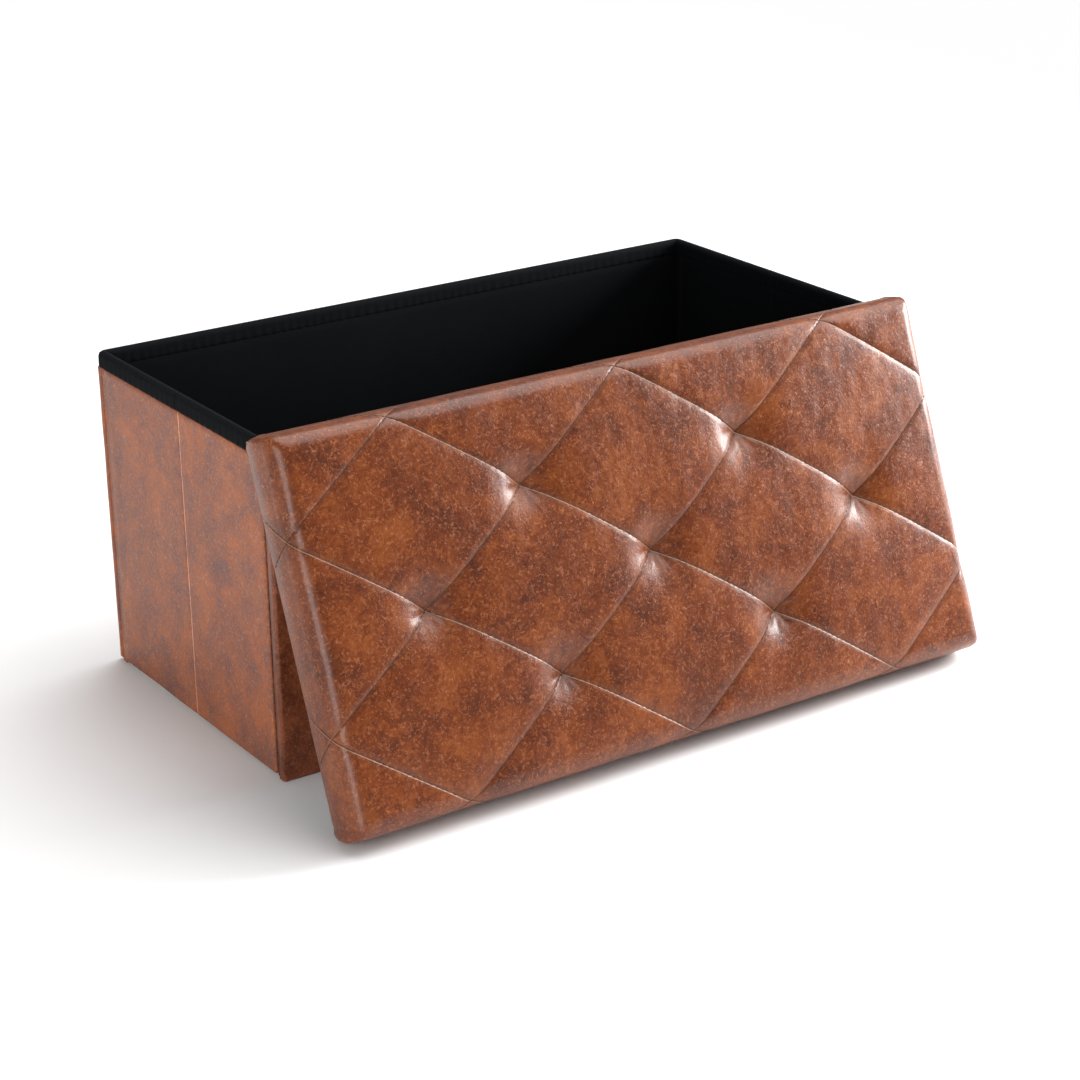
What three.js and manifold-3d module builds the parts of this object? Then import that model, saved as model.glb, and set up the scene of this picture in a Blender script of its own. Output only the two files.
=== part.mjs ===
// Folding storage ottoman: a leathercloth box, open at the top, with a padded lid leaning on its
// front rim. Millimetres, +Z up, +X along the length, front at -Y, origin on the floor at the
// centre of the box's footprint.
import * as THREE from 'three';
import { mergeVertices } from 'three/addons/utils/BufferGeometryUtils.js';
import Module from 'manifold-3d';

const wasm = await Module();
wasm.setup();

// Box
const BOX_LENGTH = 748;
const BOX_DEPTH = 364;
const RIM_TOP = 347;
const BINDING_HEIGHT = 17;
const BINDING_ROUNDING = 3;
const RIM_CORD_RADIUS = 5.5;
const CORNER_CHANNEL = 7; // sewn channel between a long wall and an end leaf
const SEAM_RECESS = 2.5; // how far the seam strip lies below the end's face
const SEAM_THICKNESS = 1.5;
const CREASE_GAP = 0.5; // between the two leaves of an end
const GAP = 0.3; // between pieces that touch

// Layers of a wall, from the outside in
const LEATHER = 1.8;
const WALL_BOARD = 5;
const LINING = 1.8;
const WALL = LEATHER + GAP + WALL_BOARD + GAP + LINING;

// Base, and the clearance above it for the walls that fold over it
const BASE_BOARD = 2.2;
const BASE_COVER = 0.8;
const BASE_TOP = BASE_BOARD + GAP + BASE_COVER;
const BASE_EASE = 1.5; // to the front wall and to the ends
const BASE_DEPTH = 341; // less than the rim's height, so it stands up under the closed lid
const WALL_FOOT = BASE_TOP + 0.5;

// Lid
const LID_LENGTH = 768;
const LID_DEPTH = 381;
const LID_EDGE = 54; // thickness at the edge
const LID_CROWN = 7; // how much the pillows rise above the edge
const LID_ROLL = 18; // radius of the rolled upper edge
const LID_LEAN = 21.4; // degrees from upright
const LID_SHIFT = -12; // along X, from the box's middle
const LID_FLOOR_GAP = 0.3;
const LID_SHEET = 0.8;
const LID_SHEET_MARGIN = 12;
const LID_COVER = 1.5;
const LID_HEM_WIDTH = 26;
const LID_BOARD = 9;
const FOAM_EASE = 1;

// Tufts: a diamond lattice, seven of its crossings tied down
const TUFT_PITCH_X = 130;
const TUFT_PITCH_Y = 92.5;
const TUFT_DIP = 9;
const TUFT_SPREAD = 24;
const TUFTS = [[-2, 0], [0, 0], [2, 0], [-1, 1], [1, 1], [-1, -1], [1, -1]];
const TIE_RADIUS = 1;
const TIE_WASHER_RADIUS = 7;
const TIE_HOLE_RADIUS = 2.5;

const leathercloth = { color: 0x97573a, roughness: 0.42, metalness: 0 };
const blackCloth = { color: 0x0d0f12, roughness: 0.9, metalness: 0 };
const fibreboard = { color: 0xb4946a, roughness: 0.85, metalness: 0 };
const foam = { color: 0xe8dcc0, roughness: 0.95, metalness: 0 };
const thread = { color: 0x3a1b10, roughness: 0.8, metalness: 0 };

const ottoman = new THREE.Group();

function piece(parent, name, finish, geometry) {
  const mesh = new THREE.Mesh(geometry, new THREE.MeshStandardMaterial(finish));
  mesh.name = name;
  parent.add(mesh);
  return mesh;
}

// Rectangular plate between two X, two Y and two Z values
function plate([x0, x1], [y0, y1], [z0, z1]) {
  const box = new THREE.BoxGeometry(x1 - x0, y1 - y0, z1 - z0);
  return box.translate((x0 + x1) / 2, (y0 + y1) / 2, (z0 + z1) / 2);
}

// Every wall is drawn in its own frame: X along it, the outer face at Y = 0, the inner at Y = WALL
const boardLayer = [LEATHER + GAP, LEATHER + GAP + WALL_BOARD];
const liningLayer = [WALL - LINING, WALL];
const bindingFoot = RIM_TOP - BINDING_HEIGHT;
const boardTop = RIM_TOP - LEATHER - GAP;
const halfLength = BOX_LENGTH / 2;
const wrapInside = halfLength - LEATHER - GAP;

// Leathercloth of a long wall: across the face and round both ends
function wrappedSkin(bottom, top) {
  const outline = new THREE.Shape();
  outline.moveTo(-halfLength, 0);
  outline.lineTo(halfLength, 0);
  outline.lineTo(halfLength, WALL);
  outline.lineTo(halfLength - LEATHER, WALL);
  outline.lineTo(halfLength - LEATHER, LEATHER);
  outline.lineTo(-halfLength + LEATHER, LEATHER);
  outline.lineTo(-halfLength + LEATHER, WALL);
  outline.lineTo(-halfLength, WALL);
  const skin = new THREE.ExtrudeGeometry(outline, { depth: top - bottom, bevelEnabled: false });
  return skin.translate(0, 0, bottom);
}

// Cloth binding folded over a wall's top edge: an upside-down U along X
function rimBinding(x0, x1) {
  const r = BINDING_ROUNDING;
  const section = new THREE.Shape();
  section.moveTo(0, bindingFoot + GAP);
  section.lineTo(LEATHER, bindingFoot + GAP);
  section.lineTo(LEATHER, RIM_TOP - LEATHER);
  section.lineTo(WALL - LINING, RIM_TOP - LEATHER);
  section.lineTo(WALL - LINING, bindingFoot + GAP);
  section.lineTo(WALL, bindingFoot + GAP);
  section.absarc(WALL - r, RIM_TOP - r, r, 0, Math.PI / 2, false);
  section.absarc(r, RIM_TOP - r, r, Math.PI / 2, Math.PI, false);
  const options = { depth: x1 - x0, bevelEnabled: false, curveSegments: 4 };
  const binding = new THREE.ExtrudeGeometry(section, options);
  const alongX = new THREE.Matrix4().makeBasis(
    new THREE.Vector3(0, 1, 0), new THREE.Vector3(0, 0, 1), new THREE.Vector3(1, 0, 0));
  return binding.applyMatrix4(alongX).translate(x0, 0, 0);
}

// Seam strips in the channels beside a long wall, one at each end of it
function cornerSeams(wall, names, bottom, top) {
  const across = [WALL + GAP, WALL + CORNER_CHANNEL - GAP];
  const outer = halfLength - SEAM_RECESS;
  const inner = outer - SEAM_THICKNESS;
  piece(wall, names[0], leathercloth, plate([-outer, -inner], across, [bottom, top]));
  piece(wall, names[1], leathercloth, plate([inner, outer], across, [bottom, top]));
}

// Front wall, whose top is finished with a round cord that the lid leans and turns on
const cordCentre = { y: -BOX_DEPTH / 2 + WALL / 2, z: RIM_TOP - RIM_CORD_RADIUS };
const underCord = cordCentre.z - RIM_CORD_RADIUS - GAP;
const front = new THREE.Group();
front.position.y = -BOX_DEPTH / 2;
ottoman.add(front);
piece(front, 'front_board', fibreboard, plate([-wrapInside, wrapInside], boardLayer, [GAP, underCord]));
piece(front, 'front_leather', leathercloth, wrappedSkin(0, underCord));
piece(front, 'front_lining', blackCloth, plate([-wrapInside, wrapInside], liningLayer, [GAP, underCord]));
cornerSeams(front, ['front_left_corner_seam', 'front_right_corner_seam'], GAP, bindingFoot);

const cord = piece(ottoman, 'front_rim_cord', blackCloth,
  new THREE.CylinderGeometry(RIM_CORD_RADIUS, RIM_CORD_RADIUS, BOX_LENGTH, 24));
cord.rotation.z = Math.PI / 2;
cord.position.set(0, cordCentre.y, cordCentre.z);

// Back wall. Its foot clears the base, and its corner seams reach the floor beside the base
const back = new THREE.Group();
back.position.y = BOX_DEPTH / 2;
back.rotation.z = Math.PI;
ottoman.add(back);
piece(back, 'back_board', fibreboard,
  plate([-wrapInside, wrapInside], boardLayer, [WALL_FOOT, boardTop]));
piece(back, 'back_leather', leathercloth, wrappedSkin(WALL_FOOT, bindingFoot));
piece(back, 'back_lining', blackCloth,
  plate([-wrapInside, wrapInside], liningLayer, [WALL_FOOT, bindingFoot]));
piece(back, 'back_binding', blackCloth, rimBinding(-halfLength, halfLength));
cornerSeams(back, ['back_right_corner_seam', 'back_left_corner_seam'], 0, bindingFoot);

// End walls: two leaves each, meeting at the middle crease
const leafReach = BOX_DEPTH / 2 - WALL - CORNER_CHANNEL;
for (const side of [{ name: 'left', sign: -1 }, { name: 'right', sign: 1 }]) {
  const end = new THREE.Group();
  end.position.x = side.sign * halfLength;
  end.rotation.z = side.sign * Math.PI / 2;
  ottoman.add(end);
  for (const leaf of [{ name: 'front', sign: -1 }, { name: 'rear', sign: 1 }]) {
    const along = [CREASE_GAP / 2, leafReach].map((x) => x * leaf.sign * side.sign);
    along.sort((a, b) => a - b);
    const name = `${side.name}_${leaf.name}`;
    piece(end, `${name}_board`, fibreboard,
      plate(along, boardLayer, [WALL_FOOT, boardTop]));
    piece(end, `${name}_leather`, leathercloth, plate(along, [0, LEATHER], [WALL_FOOT, bindingFoot]));
    piece(end, `${name}_lining`, blackCloth, plate(along, liningLayer, [WALL_FOOT, bindingFoot]));
    piece(end, `${name}_binding`, blackCloth, rimBinding(along[0], along[1]));
  }
}

// Base: a thin board and its cloth cover, hinged at the foot of the front wall
const baseFront = -BOX_DEPTH / 2 + WALL + BASE_EASE;
const baseSpan = halfLength - WALL - BASE_EASE;
const basePlan = [[-baseSpan, baseSpan], [baseFront, baseFront + BASE_DEPTH]];
piece(ottoman, 'base_board', fibreboard, plate(...basePlan, [0, BASE_BOARD]));
piece(ottoman, 'base_cover', blackCloth, plate(...basePlan, [BASE_TOP - BASE_COVER, BASE_TOP]));

// Lid. Its frame has X along it, Y up its slope and Z out of its padded face, with the origin in
// the middle of the underside. The underside touches the rim cord along a line.
const lean = THREE.MathUtils.degToRad(LID_LEAN);
const hemFace = LID_SHEET + GAP;
const upSlope = new THREE.Vector3(0, Math.sin(lean), Math.cos(lean));
const outward = new THREE.Vector3(0, -Math.cos(lean), Math.sin(lean));
const touch = new THREE.Vector3(LID_SHIFT, cordCentre.y, cordCentre.z);
touch.addScaledVector(outward, RIM_CORD_RADIUS + GAP);
const belowTouch = (touch.z - LID_FLOOR_GAP + hemFace * Math.sin(lean)) / Math.cos(lean);
const lid = new THREE.Group();
lid.position.copy(touch).addScaledVector(upSlope, LID_DEPTH / 2 - belowTouch);
lid.rotation.x = Math.PI / 2 - lean;
ottoman.add(lid);

// Height of the padded face: pillows between the tufts, falling off over the rolled edges
function padHeight(x, y, halfX, halfY, edge) {
  const overX = Math.max(LID_ROLL - halfX + Math.abs(x), 0);
  const overY = Math.max(LID_ROLL - halfY + Math.abs(y), 0);
  const over = Math.min(Math.hypot(overX, overY), LID_ROLL);
  const rollDrop = LID_ROLL - Math.sqrt(LID_ROLL ** 2 - over ** 2);
  const crown = LID_CROWN * (1 - (x / halfX) ** 4) * (1 - (y / halfY) ** 4);
  let dip = 0;
  for (const [column, row] of TUFTS) {
    const reach = Math.hypot(x - column * TUFT_PITCH_X, y - row * TUFT_PITCH_Y);
    dip += TUFT_DIP * Math.exp(-0.5 * (reach / TUFT_SPREAD) ** 2);
  }
  return edge - rollDrop + crown - dip;
}

// Grid lines from one edge to the other: even steps, then closer ones over the roll
function gridLines(half, step) {
  const lines = [0];
  for (let x = step; x < half - LID_ROLL; x += step) lines.push(x);
  for (const share of [1, 0.6, 0.3, 0.1, 0]) lines.push(half - LID_ROLL * share);
  return [...lines.slice(1).reverse().map((x) => -x), ...lines];
}

// Closed block with a flat bottom, straight sides and the padded face on top
function padBlock(length, depth, bottom, edge) {
  const xs = gridLines(length / 2, TUFT_PITCH_X / 3);
  const ys = gridLines(depth / 2, TUFT_PITCH_Y / 3);
  const points = [];
  for (const y of ys) {
    for (const x of xs) points.push(x, y, padHeight(x, y, length / 2, depth / 2, edge));
  }
  const at = (i, j) => j * xs.length + i;
  const faces = [];
  for (let j = 0; j + 1 < ys.length; j += 1) {
    for (let i = 0; i + 1 < xs.length; i += 1) {
      faces.push(at(i, j), at(i + 1, j), at(i + 1, j + 1));
      faces.push(at(i, j), at(i + 1, j + 1), at(i, j + 1));
    }
  }
  const rim = [];
  for (let i = 0; i + 1 < xs.length; i += 1) rim.push(at(i, 0));
  for (let j = 0; j + 1 < ys.length; j += 1) rim.push(at(xs.length - 1, j));
  for (let i = xs.length - 1; i > 0; i -= 1) rim.push(at(i, ys.length - 1));
  for (let j = ys.length - 1; j > 0; j -= 1) rim.push(at(0, j));
  const firstFoot = points.length / 3;
  for (const k of rim) points.push(points[3 * k], points[3 * k + 1], bottom);
  const middle = points.length / 3;
  points.push(0, 0, bottom);
  rim.forEach((k, n) => {
    const next = (n + 1) % rim.length;
    faces.push(k, firstFoot + n, firstFoot + next, k, firstFoot + next, rim[next]);
    faces.push(firstFoot + n, middle, firstFoot + next);
  });
  const block = new THREE.BufferGeometry();
  block.setAttribute('position', new THREE.Float32BufferAttribute(points, 3));
  block.setIndex(faces);
  return block;
}

function solid(geometry) {
  const bare = geometry.clone();
  bare.deleteAttribute('normal');
  bare.deleteAttribute('uv');
  const merged = mergeVertices(bare);
  return new wasm.Manifold(new wasm.Mesh({
    numProp: 3,
    vertProperties: new Float32Array(merged.attributes.position.array),
    triVerts: new Uint32Array(merged.index.array),
  }));
}

function geometryOf(manifold) {
  const mesh = manifold.getMesh();
  const geometry = new THREE.BufferGeometry();
  geometry.setAttribute('position', new THREE.BufferAttribute(mesh.vertProperties, 3));
  geometry.setIndex(new THREE.BufferAttribute(mesh.triVerts, 1));
  geometry.computeVertexNormals();
  return geometry;
}

// Holes for the tuft ties, through board and foam
function drilled(geometry) {
  let body = solid(geometry);
  for (const [column, row] of TUFTS) {
    const drill = new THREE.CylinderGeometry(TIE_HOLE_RADIUS, TIE_HOLE_RADIUS, 3 * LID_EDGE, 8);
    drill.rotateX(Math.PI / 2).translate(column * TUFT_PITCH_X, row * TUFT_PITCH_Y, 0);
    body = body.subtract(solid(drill));
  }
  return geometryOf(body);
}

// Leathercloth cover: a shell over the foam with a hem turned in under the board
function lidCover() {
  const outside = solid(padBlock(LID_LENGTH, LID_DEPTH, hemFace, LID_EDGE));
  const inside = padBlock(LID_LENGTH - 2 * LID_COVER, LID_DEPTH - 2 * LID_COVER,
    hemFace + LID_COVER, LID_EDGE - LID_COVER);
  const openX = LID_LENGTH / 2 - LID_HEM_WIDTH;
  const openY = LID_DEPTH / 2 - LID_HEM_WIDTH;
  const opening = plate([-openX, openX], [-openY, openY], [-LID_BOARD, hemFace + LID_BOARD]);
  return geometryOf(outside.subtract(solid(inside)).subtract(solid(opening)));
}

const boardFoot = hemFace + LID_COVER + GAP;
const foamFoot = boardFoot + LID_BOARD + GAP;
const foamInset = LID_COVER + FOAM_EASE;
const boardX = LID_LENGTH / 2 - LID_COVER - GAP;
const boardY = LID_DEPTH / 2 - LID_COVER - GAP;
const sheetX = LID_LENGTH / 2 - LID_SHEET_MARGIN;
const sheetY = LID_DEPTH / 2 - LID_SHEET_MARGIN;
piece(lid, 'lid_cover', leathercloth, lidCover());
piece(lid, 'lid_foam', foam, drilled(padBlock(LID_LENGTH - 2 * foamInset, LID_DEPTH - 2 * foamInset,
  foamFoot, LID_EDGE - foamInset)));
piece(lid, 'lid_board', fibreboard,
  drilled(plate([-boardX, boardX], [-boardY, boardY], [boardFoot, boardFoot + LID_BOARD])));
piece(lid, 'lid_sheet', blackCloth, plate([-sheetX, sheetX], [-sheetY, sheetY], [0, LID_SHEET]));

// Tuft ties: a washer under the board and the thread up to the cover
TUFTS.forEach(([column, row], n) => {
  const x = column * TUFT_PITCH_X;
  const y = row * TUFT_PITCH_Y;
  const top = padHeight(x, y, LID_LENGTH / 2, LID_DEPTH / 2, LID_EDGE) - foamInset;
  const profile = [[0, hemFace], [TIE_WASHER_RADIUS, hemFace], [TIE_WASHER_RADIUS, boardFoot - GAP],
    [TIE_RADIUS, boardFoot - GAP], [TIE_RADIUS, top], [0, top]].map((p) => new THREE.Vector2(...p));
  const tie = new THREE.LatheGeometry(profile, 10);
  piece(lid, `lid_tuft_tie_${n + 1}`, thread, tie.rotateX(Math.PI / 2).translate(x, y, 0));
});

export default ottoman;
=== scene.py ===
# Folding storage ottoman: a leathercloth box, open at the top, with its loose padded lid leaning
# on the front rim. Metres, +Z up, front at -Y, origin on the floor under the middle of the box.
from math import cos, hypot, pi, radians, sin

import bmesh
import bpy
import numpy as np
from mathutils import Matrix, Vector


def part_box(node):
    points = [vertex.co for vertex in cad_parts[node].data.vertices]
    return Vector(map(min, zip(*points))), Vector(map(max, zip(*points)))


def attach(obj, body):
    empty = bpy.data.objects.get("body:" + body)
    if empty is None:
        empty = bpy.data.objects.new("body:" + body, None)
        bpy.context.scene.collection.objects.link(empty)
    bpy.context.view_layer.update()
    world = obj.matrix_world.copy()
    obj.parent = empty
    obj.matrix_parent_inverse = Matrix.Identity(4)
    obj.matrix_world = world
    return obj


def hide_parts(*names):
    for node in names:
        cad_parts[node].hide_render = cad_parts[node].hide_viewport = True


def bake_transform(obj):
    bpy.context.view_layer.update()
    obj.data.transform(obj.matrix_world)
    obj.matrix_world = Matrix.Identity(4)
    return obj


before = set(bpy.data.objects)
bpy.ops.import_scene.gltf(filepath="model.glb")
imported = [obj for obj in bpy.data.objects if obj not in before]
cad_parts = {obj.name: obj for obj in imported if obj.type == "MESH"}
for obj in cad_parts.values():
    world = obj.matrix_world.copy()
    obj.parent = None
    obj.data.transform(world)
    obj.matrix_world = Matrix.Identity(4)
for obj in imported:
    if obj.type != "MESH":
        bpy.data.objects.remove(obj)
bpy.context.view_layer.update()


# Boards: the stiffening inside every wall, the base and the lid. Raw fibreboard, cut square, and
# slipped between the leathercloth and the lining before the panels are sewn shut.
def add_node(finish, kind, inputs, **settings):
    made = finish.node_tree.nodes.new(kind)
    for key, value in settings.items():
        setattr(made, key, value)
    for socket, value in inputs.items():
        if isinstance(value, bpy.types.NodeSocket):
            finish.node_tree.links.new(value, made.inputs[socket])
        else:
            made.inputs[socket].default_value = value
    return made


def srgb(red, green, blue):
    def linear(value):
        value /= 255
        return value / 12.92 if value <= 0.04045 else ((value + 0.055) / 1.055) ** 2.4
    return (linear(red), linear(green), linear(blue), 1)


def shades(finish, factor, stops):
    ramp = add_node(finish, "ShaderNodeValToRGB", {"Fac": factor})
    elements = ramp.color_ramp.elements
    while len(elements) < len(stops):
        elements.new(0.5)
    for element, (place, colour) in zip(elements, stops):
        element.position = place
        element.color = colour
    return ramp.outputs["Color"]


def noise(finish, where, scale, detail=4, roughness=0.55, distortion=0):
    made = add_node(finish, "ShaderNodeTexNoise", {
        "Vector": where, "Scale": scale, "Detail": detail, "Roughness": roughness,
        "Distortion": distortion})
    return made.outputs["Fac"]


def maths(finish, operation, *values, clamp=False):
    made = add_node(finish, "ShaderNodeMath", dict(enumerate(values)),
                    operation=operation, use_clamp=clamp)
    return made.outputs[0]


def bump(finish, height, distance, strength=1.0, over=None):
    inputs = {"Height": height, "Distance": distance, "Strength": strength}
    if over is not None:
        inputs["Normal"] = over
    return add_node(finish, "ShaderNodeBump", inputs).outputs["Normal"]


def new_finish(name, roughness, specular=0.5):
    finish = bpy.data.materials.new(name)
    finish.use_nodes = True
    shader = finish.node_tree.nodes["Principled BSDF"]
    shader.inputs["Roughness"].default_value = roughness
    shader.inputs["Specular IOR Level"].default_value = specular
    where = add_node(finish, "ShaderNodeTexCoord", {}).outputs["Object"]
    return finish, shader, where


def set_look(finish, shader, colour, normal=None, roughness=None):
    links = finish.node_tree.links
    links.new(colour, shader.inputs["Base Color"])
    if normal is not None:
        links.new(normal, shader.inputs["Normal"])
    if roughness is not None:
        links.new(roughness, shader.inputs["Roughness"])
    return finish


def raw_fibreboard():
    finish, shader, where = new_finish("raw_fibreboard", 0.85, 0.2)
    fibres = noise(finish, where, 420, 6, 0.7)
    cloud = noise(finish, where, 14, 3)
    tone = maths(finish, "MULTIPLY_ADD", cloud, 0.35, maths(finish, "MULTIPLY", fibres, 0.65))
    colour = shades(finish, tone, [(0.3, srgb(140, 106, 66)), (0.7, srgb(206, 172, 124))])
    return set_look(finish, shader, colour, bump(finish, fibres, 0.0004))


fibreboard = raw_fibreboard()
for board in [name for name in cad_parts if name.endswith("_board")]:
    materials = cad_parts[board].data.materials
    materials.clear()
    materials.append(fibreboard)


# Leathercloth skins: brown embossed leathercloth, glued over the outside of each panel and turned
# round its edges. The long walls' skins wrap their ends, and each end has two leaves that meet at
# the middle crease, where the panel folds inwards.
LEATHER = 0.0018
WALL = 0.0092
BOARD_FACE = 0.0021
LINING_FACE = 0.0074
CHANNEL = 0.007
WALL_FOOT = 0.0004
LEAF_FOOT = 0.0036
SKIN_STEP = 0.006
WRAP_RADIUS = 0.003
HALF_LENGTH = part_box("front_leather")[1].x
HALF_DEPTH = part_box("back_leather")[1].y
SKIN_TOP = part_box("left_front_leather")[1].z
LEAF_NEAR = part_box("left_rear_leather")[0].y
LEAF_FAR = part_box("left_rear_leather")[1].y


def hairs(finish, where, scale, width):
    # Short wandering lines, where one noise crosses its middle, broken up by a second noise
    level = noise(finish, where, scale, 1.5, 0.5, 0.9)
    away = maths(finish, "ABSOLUTE", maths(finish, "MULTIPLY_ADD", level, 2.0, -1.0))
    line = maths(finish, "SUBTRACT", 1.0, maths(finish, "DIVIDE", away, width, clamp=True))
    breaks = maths(finish, "MULTIPLY_ADD", noise(finish, where, scale * 1.3, 2), 8.0, -3.9,
                   clamp=True)
    return maths(finish, "MULTIPLY", line, breaks)


def mixed(finish, factor, first, second):
    made = add_node(finish, "ShaderNodeMix", {"Factor": factor, "A": first, "B": second},
                    data_type="RGBA")
    return [socket for socket in made.outputs if socket.type == "RGBA"][0]


def leather_layers(name, dark, middle, light, hairline, roughness, coat, relief):
    finish, shader, where = new_finish(name, roughness, 0.26)
    shader.inputs["Coat Weight"].default_value = coat
    shader.inputs["Coat Roughness"].default_value = 0.20
    cloud = noise(finish, where, 24, 7, 0.6, 0.4)
    fleck = noise(finish, where, 105, 7, 0.68, 1.6)
    fibre = noise(finish, where, 480, 4, 0.7, 2.5)
    tone = maths(finish, "MULTIPLY_ADD", fleck, 0.38, maths(finish, "MULTIPLY", cloud, 0.42))
    tone = maths(finish, "MULTIPLY_ADD", fibre, 0.20, tone)
    colour = shades(finish, tone, [(0.40, dark), (0.5, middle), (0.60, light)])
    veins = maths(finish, "MULTIPLY", hairs(finish, where, 42, 0.03), 0.22)
    colour = mixed(finish, veins, colour, dark)
    patchy = maths(finish, "MULTIPLY_ADD", noise(finish, where, 60, 3), 5.0, -2.1, clamp=True)
    lines = maths(finish, "MULTIPLY", hairs(finish, where, 130, 0.08), patchy)
    lines = maths(finish, "MAXIMUM", lines, maths(finish, "MULTIPLY", 0.8,
                                                  hairs(finish, where, 240, 0.12)))
    colour = mixed(finish, maths(finish, "MULTIPLY", lines, 0.55), colour, hairline)
    grain = add_node(finish, "ShaderNodeTexVoronoi", {"Vector": where, "Scale": 620,
                                                      "Randomness": 1.0}).outputs["Distance"]
    normal = bump(finish, grain, 0.0003, relief)
    normal = bump(finish, noise(finish, where, 190, 6, 0.7, 1.0), 0.0013, relief, normal)
    normal = bump(finish, lines, 0.0003, relief, normal)
    rough = maths(finish, "MULTIPLY_ADD", fleck, 0.3, roughness - 0.15)
    return finish, shader, colour, normal, rough


def leathercloth(*recipe):
    return set_look(*leather_layers(*recipe))


# Painted light: the walls get a paler, greyer copy of the lid's brown leathercloth, standing in for
# the light and the pale floor's reflection that fall on them. The mottle, flecks and hairlines are
# the leathercloth's own.
lit_wall_leather = leathercloth(
    "wall_leathercloth", srgb(104, 68, 62), srgb(140, 80, 54), srgb(170, 92, 46),
    srgb(200, 148, 122), 0.45, 0.06, 0.4)


def make_piece(name, points, faces, finish, body=None, flats=None):
    # flats gives each point its place on the flat cut cloth, kept as the UV map "cut"
    mesh = bpy.data.meshes.new(name)
    mesh.from_pydata(np.asarray(points).tolist(), [], faces)
    if flats is not None:
        cut = mesh.uv_layers.new(name="cut")
        corner_points = np.zeros(len(mesh.loops), np.int32)
        mesh.loops.foreach_get("vertex_index", corner_points)
        cut.data.foreach_set("uv", flats[corner_points].astype(np.float32).ravel())
    shape = bmesh.new()
    shape.from_mesh(mesh)
    bmesh.ops.remove_doubles(shape, verts=shape.verts, dist=1e-6)
    bmesh.ops.recalc_face_normals(shape, faces=shape.faces)
    for face in shape.faces:
        face.smooth = True
    shape.to_mesh(mesh)
    shape.free()
    mesh.materials.append(finish)
    piece = bpy.data.objects.new(name, mesh)
    bpy.context.scene.collection.objects.link(piece)
    if body:
        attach(piece, body)
    return piece


def tube_faces(rings, sides, first=0):
    # Quads between rings of points that follow each other, sides points to a ring
    faces = []
    for i in range(rings - 1):
        for k in range(sides):
            a, b = first + i * sides + k, first + i * sides + (k + 1) % sides
            faces.append((a, b, b + sides, a + sides))
    return faces


def steps(start, end, step):
    return np.linspace(start, end, max(2, int(abs(end - start) / step) + 2))


def rounded_path(corners, radius, step, arc=6):
    corners = [np.array(corner, float) for corner in corners]
    path = []
    here = corners[0]
    for i, corner in enumerate(corners[1:], 1):
        run = corner - here
        last = i == len(corners) - 1
        unit = run / np.linalg.norm(run)
        stop = corner if last else corner - unit * radius
        count = max(2, int(np.linalg.norm(stop - here) / step) + 1)
        path += [here + (stop - here) * t for t in np.linspace(0, 1, count)]
        if not last:
            turn = corners[i + 1] - corner
            turn /= np.linalg.norm(turn)
            centre = stop + turn * radius
            for t in range(1, arc):
                angle = pi / 2 * t / arc
                path.append(centre - turn * radius * cos(angle) + unit * radius * sin(angle))
            here = corner + turn * radius
    keep = [0] + [i for i in range(1, len(path)) if np.linalg.norm(path[i] - path[i - 1]) > 1e-6]
    return np.array([path[i] for i in keep])


def sweep(name, path, section, finish, body=None, shift=None):
    path, section = np.array(path, float), np.array(section, float)
    along = np.gradient(path, axis=0)
    along /= np.linalg.norm(along, axis=1)[:, None]
    inward = np.stack([-along[:, 1], along[:, 0]], 1)
    travel = np.concatenate([[0], np.cumsum(np.linalg.norm(np.diff(path, axis=0), axis=1))])
    depth = np.tile(section[:, 0], (len(path), 1))
    if shift is not None:
        depth = depth + shift(travel[:, None], section[None, :, 1])
    points = np.zeros((len(path), len(section), 3))
    points[..., :2] = path[:, None] + inward[:, None] * depth[..., None]
    points[..., 2] = section[:, 1]
    around = len(section)
    faces = [tuple(range(around)), tuple(range((len(path) - 1) * around, len(path) * around))]
    faces += tube_faces(len(path), around)
    return make_piece(name, points.reshape(-1, 3), faces, finish, body)


def slab(near, far, foot, top, step=0.006):
    ease = 0.3 * (far - near)
    heights = steps(foot + ease, top - ease, step)
    loop = [(near + ease, foot)] + [(near, z) for z in heights] + [(near + ease, top)]
    loop += [(far - ease, top)] + [(far, z) for z in heights[::-1]] + [(far - ease, foot)]
    return loop


def ripple(u, v, wave, seed):
    chance = np.random.RandomState(seed)
    total = 0
    for _ in range(7):
        angle, phase = chance.uniform(0, 2 * pi, 2)
        length = wave * chance.uniform(0.7, 1.5)
        total = total + np.sin(2 * pi * (u * cos(angle) + v * sin(angle)) / length + phase)
    return total / 7


def waviness(seed, amount=0.0009):
    return lambda travel, height: -amount * (0.5 + 0.5 * ripple(travel, height, 0.09, seed))


def wall_path(side, start, end):
    # Outer face line of a wall, walked so that the inside of the box is on the left
    if side == "front":
        return [(start, -HALF_DEPTH), (end, -HALF_DEPTH)]
    if side == "back":
        return [(-start, HALF_DEPTH), (-end, HALF_DEPTH)]
    if side == "left":
        return [(-HALF_LENGTH, -start), (-HALF_LENGTH, -end)]
    return [(HALF_LENGTH, start), (HALF_LENGTH, end)]


front_leather = leathercloth(
    "front_leathercloth", srgb(82, 38, 20), srgb(118, 60, 34), srgb(144, 78, 46),
    srgb(176, 116, 88), 0.42, 0.10, 0.4)
long_walls = {"front": (WALL_FOOT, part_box("front_leather")[1].z, "front_wall"),
              "back": (LEAF_FOOT, SKIN_TOP, "back_wall")}
for seed, (side, (foot, top, body)) in enumerate(long_walls.items()):
    (x0, y0), (x1, y1) = wall_path(side, -HALF_LENGTH, HALF_LENGTH)
    inner = y0 + (WALL if side == "front" else -WALL)
    corners = [(x0, inner), (x0, y0), (x1, y1), (x1, inner)]
    skin = sweep(f"{side}_skin", rounded_path(corners, WRAP_RADIUS, SKIN_STEP),
                 slab(0, LEATHER, foot, top), front_leather if side == "front" else lit_wall_leather,
                 body, waviness(seed))
    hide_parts(f"{side}_leather")

leaves = [(side, part) for side in ("left", "right") for part in ("front", "rear")]


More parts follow.
